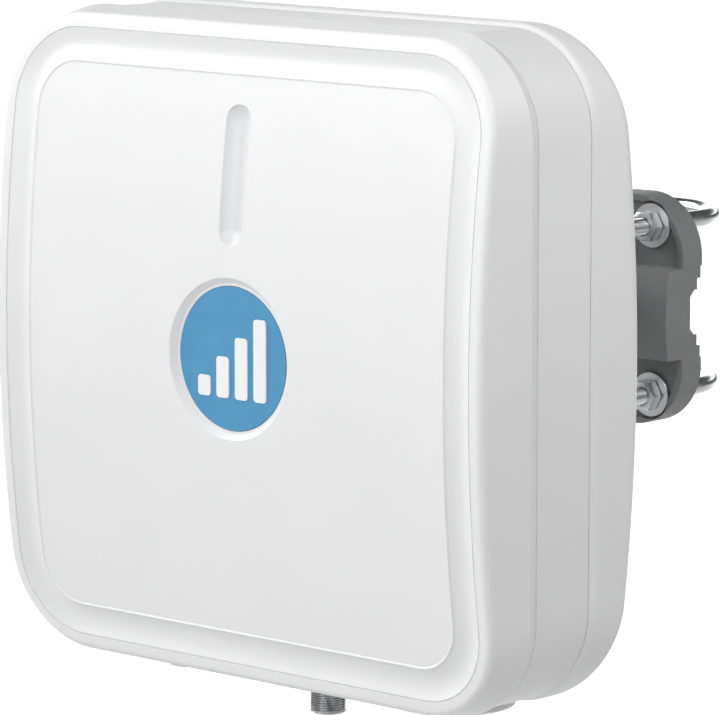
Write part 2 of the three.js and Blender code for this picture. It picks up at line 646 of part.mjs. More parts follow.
function jaw() {
  const { half, radius, rimY, floorY, backY, rim } = JAW;
  const body = plate(roundedRectangle(half, half, radius), rimY, backY, 4);
  const hollow = plate(roundedRectangle(half - rim, half - rim, radius - rim), rimY - 1, floorY, 4);
  const pockets = [1, -1].map((side) => {
    const z = [side * (BLOCK.halfZ + 0.4), side * (half + 1)].sort((a, b) => a - b);
    return common(hollow, box([-half, rimY - 2, z[0]], [half, floorY + 1, z[1]]));
  });
  const seats = SIGNS.map(([sx, sz]) =>
    bar(Y, WASHER.seat, rimY - 1, floorY, [sx * LEG.x, 0, sz * LEG.z], 24));
  const groove = grooveShape();
  const levelGroove = rib(groove, -half - 1, half + 1);
  const uprightGroove = rib(groove, -half - 1, half + 1).rotateY(Math.PI / 2);
  const boltHoles = SIGNS.map(([sx, sz]) =>
    bar(Y, BOLT_HOLE, rimY - 5, backY + 5, [sx * LEG.x, 0, sz * LEG.z], 12));
  const block = rib(blockShape(), -half, half);
  return cut(
    join(cut(body, ...pockets, ...seats), block, ...ears(BLOCK.y + 3, JAW_PIVOT_Y)),
    levelGroove, uprightGroove, pivotHole(JAW_PIVOT_Y, 0), ...boltHoles,
  );
}
add(bridge, 'jaw', jaw(), DARK);

// A U-bolt lying level round the mast, its legs pointing forward through the jaw.
function uBolt(z) {
  const route = new THREE.CurvePath();
  const at = (x, y) => new THREE.Vector3(x, y, z);
  const bend = [];
  const bendSteps = 16;
  for (let i = 0; i <= bendSteps; i += 1) {
    const turn = (i * Math.PI) / bendSteps;
    bend.push(at(LEG.x * Math.cos(turn), BEND_Y + LEG.x * Math.sin(turn)));
  }
  const stops = [at(LEG.x, LEG_END_Y), ...bend, at(-LEG.x, LEG_END_Y)];
  for (let i = 1; i < stops.length; i += 1) route.add(new THREE.LineCurve3(stops[i - 1], stops[i]));
  const section = new THREE.Shape().absarc(0, 0, ROD_RADIUS, 0, 2 * Math.PI);
  return new THREE.ExtrudeGeometry(section, {
    extrudePath: route, steps: 32, curveSegments: 4, bevelEnabled: false,
  });
}

const washerFront = JAW.floorY - GAP - WASHER.thick;
function clampWasher(x, z) {
  const disc = bar(Y, WASHER.radius, washerFront, washerFront + WASHER.thick, [x, 0, z], 20);
  return cut(disc, bar(Y, WASHER.bore, -60, 0, [x, 0, z], 12));
}

function clampNut(x, z) {
  const nutBack = washerFront - GAP;
  const block = plate(hexagon(NUT.acrossFlats), nutBack - NUT.thick, nutBack).translate(x, 0, z);
  return cut(block, bar(Y, NUT.bore, -60, 0, [x, 0, z], 12));
}

for (const [level, sz] of [['upper', 1], ['lower', -1]]) {
  add(bridge, `ubolt_${level}`, uBolt(sz * LEG.z), STEEL);
  for (const [side, sx] of [['left', -1], ['right', 1]]) {
    add(bridge, `washer_${level}_${side}`, clampWasher(sx * LEG.x, sz * LEG.z), STEEL);
    add(bridge, `nut_${level}_${side}`, clampNut(sx * LEG.x, sz * LEG.z), STEEL);
  }
}

export default bridge;
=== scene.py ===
"""Looks of the outdoor wireless bridge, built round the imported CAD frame.

Lengths in the shape code are millimetres. Housing shapes are measured from the housing's own
origin: the middle of its front seam. Clamp shapes are measured from the mast's axis.
"""

from math import atan2, ceil, cos, floor, pi, radians, sin, sqrt, tan

import bmesh
import bpy
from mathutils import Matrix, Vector


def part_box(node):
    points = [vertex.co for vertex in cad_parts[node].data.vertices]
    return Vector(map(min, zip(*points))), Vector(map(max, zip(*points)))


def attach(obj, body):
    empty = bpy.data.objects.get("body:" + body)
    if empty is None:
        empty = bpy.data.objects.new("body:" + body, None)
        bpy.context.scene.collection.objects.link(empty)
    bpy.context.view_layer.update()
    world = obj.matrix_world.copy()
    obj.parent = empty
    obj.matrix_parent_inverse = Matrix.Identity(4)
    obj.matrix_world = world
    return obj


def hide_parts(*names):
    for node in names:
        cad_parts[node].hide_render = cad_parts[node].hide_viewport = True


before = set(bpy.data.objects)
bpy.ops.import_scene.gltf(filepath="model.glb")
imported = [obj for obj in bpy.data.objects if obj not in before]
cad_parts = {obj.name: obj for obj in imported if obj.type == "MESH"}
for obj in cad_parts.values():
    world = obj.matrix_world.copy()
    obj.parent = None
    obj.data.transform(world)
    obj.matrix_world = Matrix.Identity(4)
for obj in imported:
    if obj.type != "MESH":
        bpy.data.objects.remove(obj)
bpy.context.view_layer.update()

MM = 0.001

# ---- Places from the frame --------------------------------------------------------------------

SEAM_Y, MAST_Y = -0.25, 0  # the housing's front seam and the mast's axis

band_low, band_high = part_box("middle_frame")
jaw_low, jaw_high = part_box("jaw")
HOUSING = Vector(((band_low.x + band_high.x) / 2, SEAM_Y, (band_low.z + band_high.z) / 2))
CLAMP = Vector(((jaw_low.x + jaw_high.x) / 2, MAST_Y, (jaw_low.z + jaw_high.z) / 2))


def from_origin(node, origin):
    """A CAD node's lowest and highest corners in millimetres from one of the two origins."""
    low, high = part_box(node)
    return (low - origin) / MM, (high - origin) / MM


# ---- Mesh building ----------------------------------------------------------------------------


class Form:
    """Vertices and faces of one mesh, in millimetres."""

    def __init__(self):
        self.points = []
        self.faces = []

    def ring(self, points):
        start = len(self.points)
        self.points += [tuple(p) for p in points]
        return range(start, len(self.points))

    def strip(self, a, b):
        count = len(a)
        for i in range(count):
            j = (i + 1) % count
            self.faces.append((a[i], a[j], b[j], b[i]))

    def loft(self, rings, loop=False):
        made = [self.ring(r) for r in rings]
        for a, b in zip(made, made[1:]):
            self.strip(a, b)
        if loop:
            self.strip(made[-1], made[0])
        return made

    def lid(self, ring):
        self.faces.append(tuple(ring))

    def rungs(self, ring):
        """Closes a ring that is symmetric in X with level strips, so a bowed face stays smooth."""
        left = sorted((i for i in ring if self.points[i][0] < 0), key=self.height, reverse=True)
        right = sorted((i for i in ring if self.points[i][0] > 0), key=self.height, reverse=True)
        for k in range(len(left) - 1):
            self.faces.append((left[k], left[k + 1], right[k + 1], right[k]))

    def height(self, i):
        return self.points[i][2]

    def capped(self, rings):
        """Adds a loft with a flat lid at each end."""
        made = self.loft(rings)
        self.lid(made[0])
        self.lid(made[-1])
        return self

    def looped(self, rings):
        """Adds a loft whose last ring joins its first."""
        self.loft(rings, loop=True)
        return self

    def runged(self, rings):
        """Adds a loft with level strips across each end."""
        made = self.loft(rings)
        self.rungs(made[0])
        self.rungs(made[-1])
        return self

    def mesh(self, name, origin):
        data = bpy.data.meshes.new(name)
        data.from_pydata([origin + Vector(p) * MM for p in self.points], [], self.faces)
        tidy(data)
        return data


def tidy(data):
    """Merges doubled points and turns every face outward."""
    bm = bmesh.new()
    bm.from_mesh(data)
    bmesh.ops.remove_doubles(bm, verts=bm.verts, dist=1e-7)
    bmesh.ops.dissolve_degenerate(bm, edges=bm.edges, dist=1e-7)
    bmesh.ops.recalc_face_normals(bm, faces=bm.faces)
    bm.to_mesh(data)
    bm.free()


def rounded(half_x, half_z, radius, corner_steps=20, side_steps=1):
    """Points (x, z) round a rounded rectangle. Only its upright sides are divided."""
    points = []
    for quarter, (sx, sz) in enumerate([(1, 1), (-1, 1), (-1, -1), (1, -1)]):
        cx, cz = sx * (half_x - radius), sz * (half_z - radius)
        for i in range(corner_steps + 1):
            turn = (quarter + i / corner_steps) * pi / 2
            points.append((cx + radius * cos(turn), cz + radius * sin(turn)))
        if quarter % 2 == 1:
            x, z = points[-1]
            points += [(x, z - 2 * cz * i / side_steps) for i in range(1, side_steps)]
    return points


def at_depth(points, depth, centre_z=0.0):
    """Lifts (x, z) points to 3-D. depth is a number or a function of z."""
    height = depth if callable(depth) else (lambda z: depth)
    return [(x, height(z + centre_z), z + centre_z) for x, z in points]


def smooth_run(stops, steps):
    """A Catmull-Rom run through rows of numbers."""
    ends = [stops[0], *stops, stops[-1]]
    run = []
    for a, b, c, d in zip(ends, ends[1:], ends[2:], ends[3:]):
        for i in range(steps):
            t = i / steps
            run.append(tuple(
                0.5 * (2 * q + (r - p) * t + (2 * p - 5 * q + 4 * r - s) * t * t
                       + (3 * q - p - 3 * r + s) * t ** 3)
                for p, q, r, s in zip(a, b, c, d)))
    return [*run, tuple(stops[-1])]


def circle(radius, sides):
    turns = [2 * pi * i / sides for i in range(sides)]
    return [(radius * cos(turn), radius * sin(turn)) for turn in turns]


def four_corners(half):
    """The four points (x, z) that far from the middle each way."""
    return [(x, z) for x in (-half, half) for z in (-half, half)]


AXES = {
    "X": lambda u, v, t: (t, u, v),
    "Y": lambda u, v, t: (u, t, v),
    "Z": lambda u, v, t: (u, v, t),
}


def turned(profile, axis, centre, sides=64):
    """A turned solid from [radius, place along the axis]. centre gives the two other places.

    A profile that ends where it starts makes a ring."""
    place = AXES[axis]
    cu, cv = centre
    rings = [[place(cu + u, cv + v, t) for u, v in circle(radius, sides)] for radius, t in profile]
    if profile[0] != profile[-1]:
        return Form().capped(rings)
    return Form().looped(rings[:-1])


def prism(points, axis, start, end):
    """A flat outline thickened along an axis."""
    place = AXES[axis]
    return Form().capped([[place(u, v, t) for u, v in points] for t in (start, end)])


def hidden_object(form, origin):
    obj = bpy.data.objects.new("tool", form.mesh("tool", origin))
    bpy.context.scene.collection.objects.link(obj)
    return obj


def combine(form, origin, steps):
    """The form's mesh after joining and cutting other forms, each ("UNION" or "DIFFERENCE", form)."""
    base = hidden_object(form, origin)
    tools = []
    for operation, tool_form in steps:
        tool = hidden_object(tool_form, origin)
        modifier = base.modifiers.new("step", "BOOLEAN")
        modifier.operation = operation
        modifier.solver = "EXACT"
        modifier.object = tool
        tools.append(tool)
    bpy.context.view_layer.update()
    result = bpy.data.meshes.new_from_object(base.evaluated_get(bpy.context.evaluated_depsgraph_get()))
    for obj in [base, *tools]:
        data = obj.data
        bpy.data.objects.remove(obj)
        bpy.data.meshes.remove(data)
    tidy(result)
    return result


CREASE = radians(32)  # edges sharper than this stay sharp


def piece(name, data, body, material, stands_for=(), edge=0.0):
    """Puts a finished mesh in the scene as a piece of the object.

    edge is the width in millimetres of the rounding on sharp edges."""
    data.name = name
    obj = bpy.data.objects.new(name, data)
    bpy.context.scene.collection.objects.link(obj)
    data.materials.clear()
    data.materials.append(material)
    if edge:
        bevel = obj.modifiers.new("edge", "BEVEL")
        bevel.width = edge * MM
        bevel.segments = 2
        bevel.limit_method = "ANGLE"
        bevel.angle_limit = CREASE
        bevel.use_clamp_overlap = True
    data.shade_smooth()
    data.set_sharp_from_angle(angle=CREASE)
    normals = obj.modifiers.new("normals", "WEIGHTED_NORMAL")
    normals.keep_sharp = True
    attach(obj, body)
    if stands_for:
        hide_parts(*stands_for)


# ---- Materials --------------------------------------------------------------------------------


def new_material(name):
    """A new node material, with its shader and its object coordinates."""
    made = bpy.data.materials.new(name)
    made.use_nodes = True
    nodes = made.node_tree.nodes
    coordinates = nodes.new("ShaderNodeTexCoord")
    return made, nodes["Principled BSDF"], coordinates.outputs["Object"]


def noise(tree, vector, scale, detail=2.0, roughness=0.5):
    node = tree.nodes.new("ShaderNodeTexNoise")
    node.inputs["Scale"].default_value = scale
    node.inputs["Detail"].default_value = detail
    node.inputs["Roughness"].default_value = roughness
    tree.links.new(vector, node.inputs["Vector"])
    return node.outputs["Fac"]


def spread(tree, value, low, high):
    """Maps a noise value's middle range onto low..high."""
    node = tree.nodes.new("ShaderNodeMapRange")
    node.inputs["From Min"].default_value = 0.3
    node.inputs["From Max"].default_value = 0.7
    node.inputs["To Min"].default_value = low
    node.inputs["To Max"].default_value = high
    tree.links.new(value, node.inputs["Value"])
    return node.outputs["Result"]


def blend(tree, factor, first, second):
    node = tree.nodes.new("ShaderNodeMix")
    node.data_type = "RGBA"
    node.inputs["A"].default_value = (*first, 1)
    node.inputs["B"].default_value = (*second, 1)
    tree.links.new(factor, node.inputs["Factor"])
    return node.outputs["Result"]


def bump(tree, shader, height, depth, strength):
    node = tree.nodes.new("ShaderNodeBump")
    node.inputs["Distance"].default_value = depth
    node.inputs["Strength"].default_value = strength
    tree.links.new(height, node.inputs["Height"])
    tree.links.new(node.outputs["Normal"], shader.inputs["Normal"])


GLOSS_FINENESS = 2.3  # patches of gloss across each patch of colour


def finish_of(name, first, second, patch, rough, grain, depth, strength, **fixed):
    """A procedural surface: two close colours in soft patches, varied gloss, and a fine grain.

    patch and grain are the sizes of the patches and of the grain in metres. fixed gives shader
    inputs that are the same all over."""
    made, shader, place = new_material(name)
    tree = made.node_tree
    patches = spread(tree, noise(tree, place, 1 / patch, 3), 0, 1)
    tree.links.new(blend(tree, patches, first, second), shader.inputs["Base Color"])
    gloss = spread(tree, noise(tree, place, GLOSS_FINENESS / patch, 4, 0.6), *rough)
    tree.links.new(gloss, shader.inputs["Roughness"])
    bump(tree, shader, noise(tree, place, 1 / grain, 2), depth, strength)
    for socket, value in fixed.items():
        shader.inputs[socket.replace("_", " ")].default_value = value
    return made


def stretched(tree, vector, scale):
    node = tree.nodes.new("ShaderNodeMapping")
    node.inputs["Scale"].default_value = scale
    tree.links.new(vector, node.inputs["Vector"])
    return node.outputs["Vector"]


METAL_PATCHES, METAL_LINES = 120, 900  # for each metre


def turned_metal(name, first, second, rough, along, depth):
    """Plated, drawn or rolled metal: fine lines over soft patches.

    along scales the lines on each axis: less than 1 draws them out along it."""
    made, shader, place = new_material(name)
    tree = made.node_tree
    patches = spread(tree, noise(tree, place, METAL_PATCHES, 2), 0, 1)
    tree.links.new(blend(tree, patches, first, second), shader.inputs["Base Color"])
    lines = noise(tree, stretched(tree, place, along), METAL_LINES, 2)
    tree.links.new(spread(tree, lines, *rough), shader.inputs["Roughness"])
    bump(tree, shader, lines, depth, 0.1)
    shader.inputs["Metallic"].default_value = 1
    return made


WHITE = finish_of("moulded_white", (0.728, 0.729, 0.732), (0.742, 0.743, 0.746), 0.045,
                  (0.36, 0.44), 0.0006, 0.00002, 0.22)
WINDOW_WHITE = finish_of("window_white", (0.7, 0.703, 0.706), (0.72, 0.723, 0.726), 0.02,
                         (0.28, 0.34), 0.0008, 0.00001, 0.15, Subsurface_Weight=0.05)
SIGN_WHITE = finish_of("sign_white", (0.78, 0.785, 0.79), (0.8, 0.805, 0.81), 0.01,
                       (0.36, 0.42), 0.0005, 0.00001, 0.15)
BLUE = finish_of("badge_blue", (0.062, 0.265, 0.47), (0.072, 0.285, 0.495), 0.012,
                 (0.42, 0.5), 0.0004, 0.00002, 0.25)
DARK = finish_of("powder_coat_grey", (0.178, 0.18, 0.183), (0.195, 0.197, 0.2), 0.01,
                 (0.44, 0.56), 0.0009, 0.00006, 0.35)
ZINC = turned_metal("zinc_plate", (0.66, 0.68, 0.70), (0.70, 0.72, 0.74),
                    (0.3, 0.36), (1, 1, 1), 0.000005)
ROD_STEEL = turned_metal("drawn_zinc_rod", (0.68, 0.70, 0.72), (0.73, 0.75, 0.77),
                         (0.2, 0.26), (1, 0.15, 1), 0.000005)
NICKEL = turned_metal("turned_nickel", (0.4, 0.405, 0.41), (0.5, 0.505, 0.51),
                      (0.12, 0.2), (0.2, 0.2, 1), 0.000005)
GOLD = turned_metal("gold_plate", (0.8, 0.56, 0.2), (0.85, 0.62, 0.26),
                    (0.2, 0.3), (0.2, 0.2, 1), 0.00001)
SHEET = turned_metal("rolled_aluminium", (0.6, 0.61, 0.62), (0.68, 0.69, 0.7),
                     (0.35, 0.5), (0.05, 1, 1), 0.00002)
TIN = turned_metal("tinned_sheet", (0.5, 0.51, 0.52), (0.6, 0.61, 0.62),
                   (0.28, 0.42), (1, 1, 0.1), 0.00001)
BOARD = finish_of("solder_mask_green", (0.012, 0.09, 0.04), (0.018, 0.12, 0.055), 0.006,
                  (0.35, 0.5), 0.0012, 0.00004, 0.4)
RUBBER = finish_of("black_rubber", (0.018, 0.019, 0.02), (0.03, 0.031, 0.032), 0.006,
                   (0.7, 0.85), 0.0007, 0.00006, 0.4)
SHEATH = finish_of("black_sheath", (0.012, 0.012, 0.013), (0.02, 0.02, 0.021), 0.004,
                   (0.4, 0.55), 0.0008, 0.00004, 0.3)
NYLON = finish_of("natural_nylon", (0.72, 0.7, 0.63), (0.78, 0.76, 0.7), 0.008,
                  (0.4, 0.5), 0.0007, 0.00003, 0.3, Subsurface_Weight=0.1)

# ---- Housing shells ---------------------------------------------------------------------------

BAND_HALF = 145
CORNER_CENTRE = 101  # of the band and of the shells' sides
SHELL_HALF = 146.5
FRONT_HALF = 144  # the front shell narrows to this at its rim
INNER_HALF = 141.5
SEAM_FRONT = (1.0, 1.4)  # front shell's end, band's start
SEAM_REAR = (35.7, 35.95)  # band's end, rear shell's start
FRONT_Y, BACK_Y = -33.6, 71  # the bowed faces at mid height
BOW = 0.00068  # their fall towards top and bottom, for each square of the height
SIDE_STEPS = 36
RIM_STEPS = 10


def square(half, radius, depth):
    return at_depth(rounded(half, half, radius, side_steps=SIDE_STEPS), depth)


def wall_ring(half, depth):
    return square(half, half - CORNER_CENTRE, depth)


def front(offset):
    return lambda z: FRONT_Y + offset + BOW * z * z


def back(offset):
    return lambda z: BACK_Y + offset - BOW * z * z


def rim_rounding(outer, inner, outer_radius, inner_radius):
    """Rows (half, radius, drop) of the quarter round between a side wall and a face."""
    width = outer - inner
    rows = []
    for i in range(RIM_STEPS + 1):
        turn = pi / 2 * (1 - i / RIM_STEPS)
        share = sin(turn)
        drop = width * (1 - cos(turn))
        rows.append((inner + width * share, inner_radius + (outer_radius - inner_radius) * share, drop))
    return rows


# Rows of half width, corner radius and depth below the front rim, from the rim inwards.
RIM_GROOVE = [
    (137.5, 35.3, 0), (137.3, 35.1, 0.1), (137.0, 34.85, 0.75), (136.85, 34.7, 0.75), (136.6, 34.5, 0.25),
]
COVE = [
    (136.4, 34.3, 0.35), (135.1, 33.2, 1.0), (133.4, 31.7, 1.8), (131.6, 30.0, 2.4), (129.8, 28.5, 2.65),
    (127.8, 26.6, 2.5), (126.0, 24.9, 2.0), (124.6, 23.6, 1.4), (123.6, 22.6, 1.0),
]
BEAD = [(123.3, 22.3, 0.75), (123.1, 22.1, 0.25), (122.85, 21.85, 0.05), (122.55, 21.55, 0.0),
        (122.25, 21.25, 0.12), (121.85, 20.85, 0.52), (121.55, 20.55, 0.56)]


def front_shell():
    inner_face = [square(118, 18, front(6.8)), square(134, 33, front(7.4)),
                  wall_ring(INNER_HALF, front(13)), wall_ring(INNER_HALF, SEAM_FRONT[0])]
    seam = [wall_ring(half, y) for half, y in
            [(144.4, SEAM_FRONT[0]), (144.9, SEAM_FRONT[0]), (145.03, 0.8), (146.46, -4.15),
             (SHELL_HALF, -4.4)]]
    rim = [square(half, radius, front(drop))
           for half, radius, drop in rim_rounding(FRONT_HALF, 140.7, 43, 39.2)]
    groove, cove, bead = [[square(half, radius, front(depth)) for half, radius, depth in rows]
                          for rows in (RIM_GROOVE, smooth_run(COVE, 3), BEAD)]
    form = Form().runged([*inner_face, *seam, *rim, *groove, *cove, *bead])
    return combine(form, HOUSING, [("DIFFERENCE", badge_recess()), ("DIFFERENCE", window_slot())])


BADGE = {"radius": 31.5, "face": -30.3, "back": -28.6}
SEAT = {"radius": 31.7, "floor": -28.3, "edge": -30.0}


def badge_recess():
    """The tool that sinks the badge: soft mouth on the bowed face, sloping wall, flat seat."""
    mouth = [(37.4, -1.2), (36.15, -0.2), (35.95, 0.0), (35.8, 0.25)]
    wall = [(33.3, SEAT["edge"] - 0.5), (33.0, SEAT["edge"] - 0.12), (32.6, SEAT["edge"]),
            (SEAT["radius"], SEAT["edge"]), (SEAT["radius"], SEAT["floor"])]
    return Form().capped([at_depth(circle(radius, 128), front(depth)) for radius, depth in mouth]
                         + [at_depth(circle(radius, 128), y) for radius, y in wall])


WINDOW = {"z": 79.3, "half_z": 30.9, "half_x": 7.8}


def slot_ring(grow, depth):
    half_x = WINDOW["half_x"] + grow
    points = rounded(half_x, WINDOW["half_z"] + grow, half_x - 0.3, 14, 20)
    return at_depth(points, depth, WINDOW["z"])


def window_slot():
    """The tool that cuts the slot, with a soft mouth and a sloping edge."""
    rows = [(1.9, -1.5), (0.25, -0.2), (0.0, 0.04), (-0.18, 0.28), (-0.95, 1.15), (-0.95, 9)]
    return Form().capped([slot_ring(grow, front(depth)) for grow, depth in rows])


def light_window():
    """The insert in the slot: a long smooth trough that carries on the slot's sloping edge."""
    edge, top, width, depth = -1.04, 1.22, 6.2, 3.1
    rows = [(-1.0, 8.6), (-1.0, 1.26), (edge, top)]
    rows += [(edge - width * t, top + depth * (1 - (1 - t) ** 2))
             for t in (0.1, 0.22, 0.36, 0.52, 0.7, 0.86, 1.0)]
    form = Form().runged([slot_ring(grow, front(drop)) for grow, drop in rows])
    return form.mesh("light_window", HOUSING)


UNDERSIDE_HOLES = {  # radius of the hole that each fitting goes through
    "jack_body": 8.3, "vent_plug": 5.3, "cable_grommet": 7.3, "cover_screw_1": 1.9, "cover_screw_2": 1.9,
}


def middle_frame():
    start, end = SEAM_FRONT[1], SEAM_REAR[0]
    edge, inside = 0.3, 140
    rows = [(BAND_HALF - edge, start), (BAND_HALF, start + edge), (BAND_HALF, end - edge),
            (BAND_HALF - edge, end), (inside, end), (inside, start)]
    form = Form().looped([wall_ring(half, y) for half, y in rows])
    return combine(form, HOUSING, [("DIFFERENCE", upright_hole(node, radius, -150, -135))
                                   for node, radius in UNDERSIDE_HOLES.items()])


def middle_of(node):
    """The middle of a housing node's box."""
    low, high = from_origin(node, HOUSING)
    return (low + high) / 2


def upright_hole(node, radius, bottom, top):
    """The tool that cuts an upright hole on a node's axis."""
    spot = middle_of(node)
    return turned([[radius, bottom], [radius, top]], "Z", (spot.x, spot.y), 48)


PAD_HALF, PAD_RADIUS, PAD_Y = 50, 8, 71.4
CASE_SCREWS = four_corners(120)
SCREW_BOSS, HEAD_HOLE, SHANK_HOLE = 8, 5.4, 2.8


def flange_pad():
    """The flat pad on the back that the flange sits on."""
    rows = [(0.6, 66.5), (0.6, PAD_Y - 0.9), (0.3, PAD_Y - 0.3), (-0.4, PAD_Y)]
    return Form().capped([
        at_depth(rounded(PAD_HALF + grow, PAD_HALF + grow, PAD_RADIUS + grow, 10), y)
        for grow, y in rows])


def rear_shell():
    inner_face = [square(120, 25, back(-3.4)), square(134, 33, back(-4.2)),
                  wall_ring(INNER_HALF, back(-11)), wall_ring(INNER_HALF, SEAM_REAR[1])]
    seam = [wall_ring(half, y) for half, y in
            [(144.4, SEAM_REAR[1]), (144.9, SEAM_REAR[1]), (145.1, 36.15), (145.9, 37.4), (146.3, 38.3),
             (146.45, 39.2), (SHELL_HALF, 40.5)]]
    rim = [square(half, radius, back(-drop))
           for half, radius, drop in rim_rounding(SHELL_HALF, 137.8, 45.5, 36.5)]
    form = Form().runged([*inner_face, *seam, *rim])
    steps = [("UNION", flange_pad())]
    steps += [("UNION", turned([[SCREW_BOSS, 40], [SCREW_BOSS, 66]], "Y", spot, 48))
              for spot in CASE_SCREWS]
    for spot in CASE_SCREWS:
        steps.append(("DIFFERENCE", turned([[HEAD_HOLE, 49.7], [HEAD_HOLE, 76]], "Y", spot, 48)))
        steps.append(("DIFFERENCE", turned([[SHANK_HOLE, 30], [SHANK_HOLE, 55]], "Y", spot, 32)))
    return combine(form, HOUSING, steps)


piece("front_shell_skin", front_shell(), "housing", WHITE, ["front_shell"])
piece("light_window_insert", light_window(), "housing", WINDOW_WHITE, ["light_window"])
piece("middle_frame_skin", middle_frame(), "housing", WHITE, ["middle_frame"])
piece("rear_shell_skin", rear_shell(), "housing", WHITE, ["rear_shell"])


# ---- Badge ------------------------------------------------------------------------------------


def badge_disc():
    radius, face, rear = BADGE["radius"], BADGE["face"], BADGE["back"]
    profile = [[0, rear], [radius - 0.3, rear], [radius, rear - 0.3], [radius, face + 0.35],
               [radius - 0.12, face + 0.12], [radius - 0.35, face], [0, face]]
    return turned(profile, "Y", (0, 0), 128).mesh("badge_disc", HOUSING)


BAR = {"half_x": 3.7, "foot": -17.5, "proud": 0.7, "radius": 1.6}
BAR_HEIGHTS, FIRST_BAR, BAR_PITCH = (9, 18, 27, 36), -16.5, 11


def signal_bar(x, height):
    """One raised bar of the sign, with round corners and softened edges."""
    top = BADGE["face"] - BAR["proud"]
    half_z, centre_z = height / 2, BAR["foot"] + height / 2
    rings = []
    for grow, y in [(0, BADGE["face"] + 0.1), (0, top + 0.2), (-0.2, top)]:
        outline = rounded(BAR["half_x"] + grow, half_z + grow, BAR["radius"] + grow, 6)
        rings.append([(px + x, y, pz + centre_z) for px, pz in outline])
    return Form().capped(rings).mesh("bar", HOUSING)


piece("badge_face", badge_disc(), "housing", BLUE, ["badge_disc"])
for number, bar_height in enumerate(BAR_HEIGHTS, 1):
    bar = signal_bar(FIRST_BAR + BAR_PITCH * (number - 1), bar_height)
    piece(f"badge_bar_{number}", bar, "housing", SIGN_WHITE)


# ---- Threads, nuts, screws and washers --------------------------------------------------------


def ramp(value):
    """A thread's flank: 0 at the root, 1 at the crest, over one turn."""
    turn = value - floor(value)
    return min(1.0, max(0.0, 1.6 * (1 - abs(2 * turn - 1)) - 0.2))


RINGS_PER_TURN = 6


def threaded(axis, centre, start, end, crest, depth, pitch, sides):
    """Rings of a helical thread between two places on the axis. Runs out at both ends."""
    count = ceil(abs(end - start) / pitch * RINGS_PER_TURN)
    place = AXES[axis]
    rings = []
    for k in range(count + 1):
        along = start + (end - start) * k / count
        fade = min(1, k / RINGS_PER_TURN, (count - k) / RINGS_PER_TURN)
        ring = []
        for i in range(sides):
            turn = i / sides
            r = crest - depth * fade * (1 - ramp(along / pitch - turn))
            u, v = r * cos(2 * pi * turn), r * sin(2 * pi * turn)
            ring.append(place(centre[0] + u, centre[1] + v, along))
        rings.append(ring)
    return rings


def hex_radius(turn, flats):
    """Distance from the axis to a hexagon's side, corners at turn 0."""
    part = (turn + pi / 6) % (pi / 3) - pi / 6
    return flats / 2 / cos(pi / 6 - abs(part))


HEX_SIDES = 72
M8 = {"across_flats": 13, "radius": 4, "pitch": 1.25}


def hexagonal(axis, centre, flats, near, far, bore=0.0):
    """A hexagon with its corners turned off at both ends, and a countersunk bore if it has one."""
    place = AXES[axis]
    turns = [2 * pi * i / HEX_SIDES for i in range(HEX_SIDES)]
    toward = 1 if far > near else -1
    shoulder = flats / 2 * 0.96

    def ring(radius_at, along_at):
        return [place(centre[0] + radius_at(t) * cos(t), centre[1] + radius_at(t) * sin(t), along_at(t))
                for t in turns]

    def hex_at(t):
        return hex_radius(t, flats)

    def chamfer(t):
        return (hex_at(t) - shoulder) * tan(radians(30))

    rings = [
        ring(lambda t: shoulder, lambda t: near),
        ring(hex_at, lambda t: near + toward * chamfer(t)),
        ring(hex_at, lambda t: far - toward * chamfer(t)),
        ring(lambda t: shoulder, lambda t: far),
    ]
    if not bore:
        return Form().capped(rings)
    sink = 0.5
    rings += [
        ring(lambda t: bore + sink, lambda t: far),
        ring(lambda t: bore, lambda t: far - toward * sink),
        ring(lambda t: bore, lambda t: near + toward * sink),
        ring(lambda t: bore + sink, lambda t: near),
    ]
    return Form().looped(rings)


def washer(centre, y0, y1, inner, outer):
    soft = 0.25
    profile = [[inner, y0 + soft], [inner + soft, y0], [outer - soft, y0], [outer, y0 + soft],
               [outer, y1 - soft], [outer - soft, y1], [inner + soft, y1], [inner, y1 - soft],
               [inner, y0 + soft]]
    return turned(profile, "Y", centre, 96)


def socket_screw(node, head_radius, head_height, shank_radius, flats):
    """A cap screw that goes in from behind, with a rounded head edge and a hexagon socket."""
    low, high = from_origin(node, HOUSING)
    spot = middle_of(node)
    tip, seat, top = low.y, high.y - head_height, high.y
    soft = 0.5
    profile = [[0, tip], [shank_radius - soft, tip], [shank_radius, tip + soft], [shank_radius, seat],
               [head_radius, seat], [head_radius, top - soft],
               [head_radius - 0.15 * soft, top - 0.4 * soft], [head_radius - soft, top], [0, top]]
    hexagon = [(spot.x + u, spot.z + v) for u, v in circle(flats / sqrt(3), 6)]
    socket = prism(hexagon, "Y", top - 0.55 * head_height, top + 1)
    body = turned(profile, "Y", (spot.x, spot.z), 64)
    return combine(body, HOUSING, [("DIFFERENCE", socket)])


for screw, measures in (("case_screw", (4.8, 4, 2.2, 3)), ("flange_screw", (5, 4.7, 2.8, 4))):
    for number in range(1, 5):
        node = f"{screw}_{number}"
        piece(f"{node}_turned", socket_screw(node, *measures), "housing", ZINC, [node])

# ---- Underside fittings -----------------------------------------------------------------------


